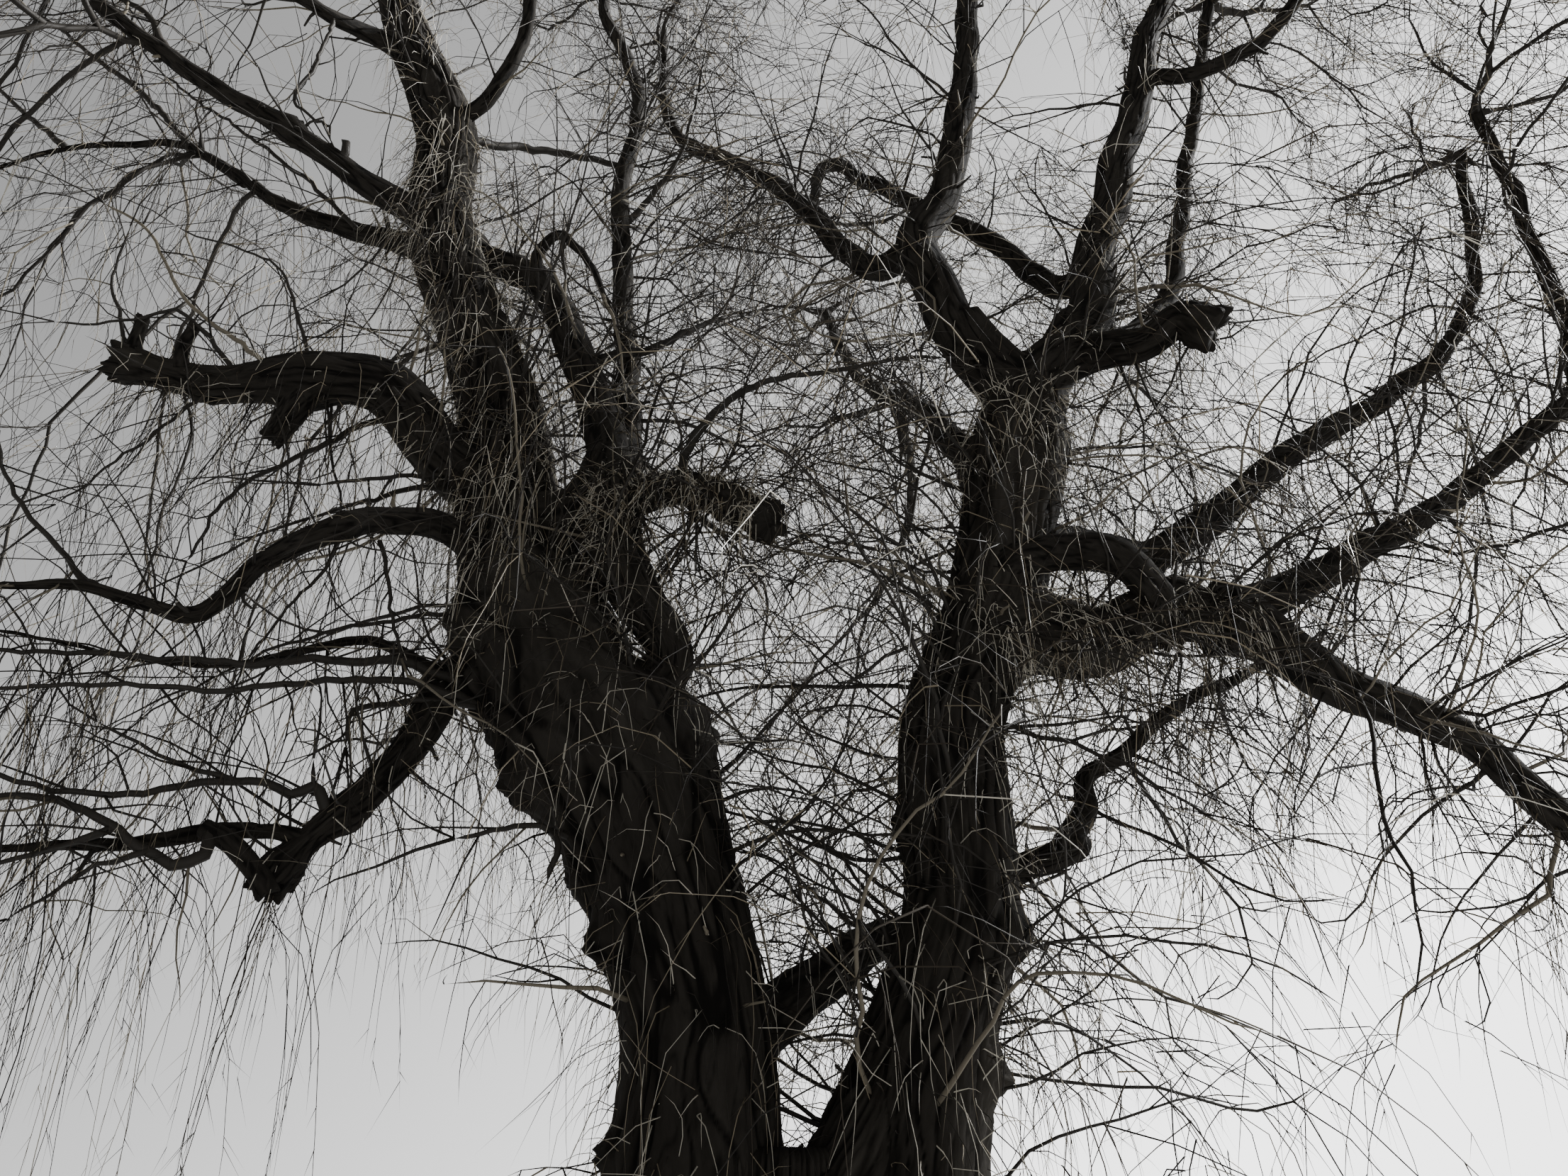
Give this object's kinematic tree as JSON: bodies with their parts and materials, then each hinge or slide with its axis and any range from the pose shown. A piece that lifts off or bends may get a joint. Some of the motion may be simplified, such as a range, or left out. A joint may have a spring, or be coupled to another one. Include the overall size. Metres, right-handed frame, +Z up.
{
  "type": "bare weeping willow tree",
  "caption": "Mature weeping willow, bare in winter: a stout trunk forking low, twisted cut-back boughs, and hanging curtains of fine twigs round a domed crown.",
  "frame": {"origin": "middle of the flat cut under the trunk, at ground level", "axes": "+Z up the trunk, +X to the right and +Y away, seen from the front"},
  "size_m": [14.2585, 14.4421, 16.0886],
  "materials": {
    "bark": "thick, dry, deeply furrowed grey-brown bark",
    "bough_bark": "finer furrowed grey-brown bark with knots and cut ends",
    "twigs": "thin smooth shoots and whips, dark umber to pale straw"
  },
  "bodies": {
    "root": {"trunk": "bark", "left_leader": "bark", "right_leader": "bark", "twin_stem": "bough_bark", "loop_bough": "bough_bark", "hook_bough": "bough_bark", "side_bough": "bough_bark", "long_left_bough": "bough_bark", "upper_left_bough": "bough_bark", "top_left_bough": "bough_bark", "inner_left_bough": "bough_bark", "cut_stub_left": "bough_bark", "arched_bough": "bough_bark", "low_bough": "bough_bark", "low_bough_fork": "bough_bark", "shaggy_stub": "bough_bark", "back_stem": "bough_bark", "inner_right_stem": "bough_bark", "long_back_bough": "bough_bark", "right_stem": "bough_bark", "right_upper_bough": "bough_bark", "hooked_stub": "bough_bark", "right_bough": "bough_bark", "right_bough_end": "bough_bark", "right_rising_bough": "bough_bark", "right_far_bough": "bough_bark", "crossing_bough": "bough_bark", "crooked_bough": "bough_bark", "rear_bough": "bough_bark", "rear_stem": "bough_bark", "front_left_bough": "bough_bark", "front_bough": "bough_bark", "back_left_bough": "bough_bark", "back_bough": "bough_bark", "back_right_bough": "bough_bark", "back_curtain_bough": "bough_bark", "crown_top_left": "twigs", "crown_top_middle": "twigs", "crown_top_right": "twigs", "crown_far_right": "twigs", "crown_front_left": "twigs", "crown_front": "twigs", "crown_front_right": "twigs", "crown_right": "twigs", "crown_back_right": "twigs", "crown_back": "twigs", "crown_back_left": "twigs", "crown_left": "twigs", "curtain_right": "twigs", "curtain_back_right": "twigs", "curtain_back": "twigs", "curtain_back_left": "twigs", "curtain_far_left": "twigs", "curtain_left": "twigs", "curtain_front_left": "twigs", "curtain_front": "twigs", "curtain_front_right": "twigs", "curtain_far_right": "twigs"}
  },
  "joints": []
}
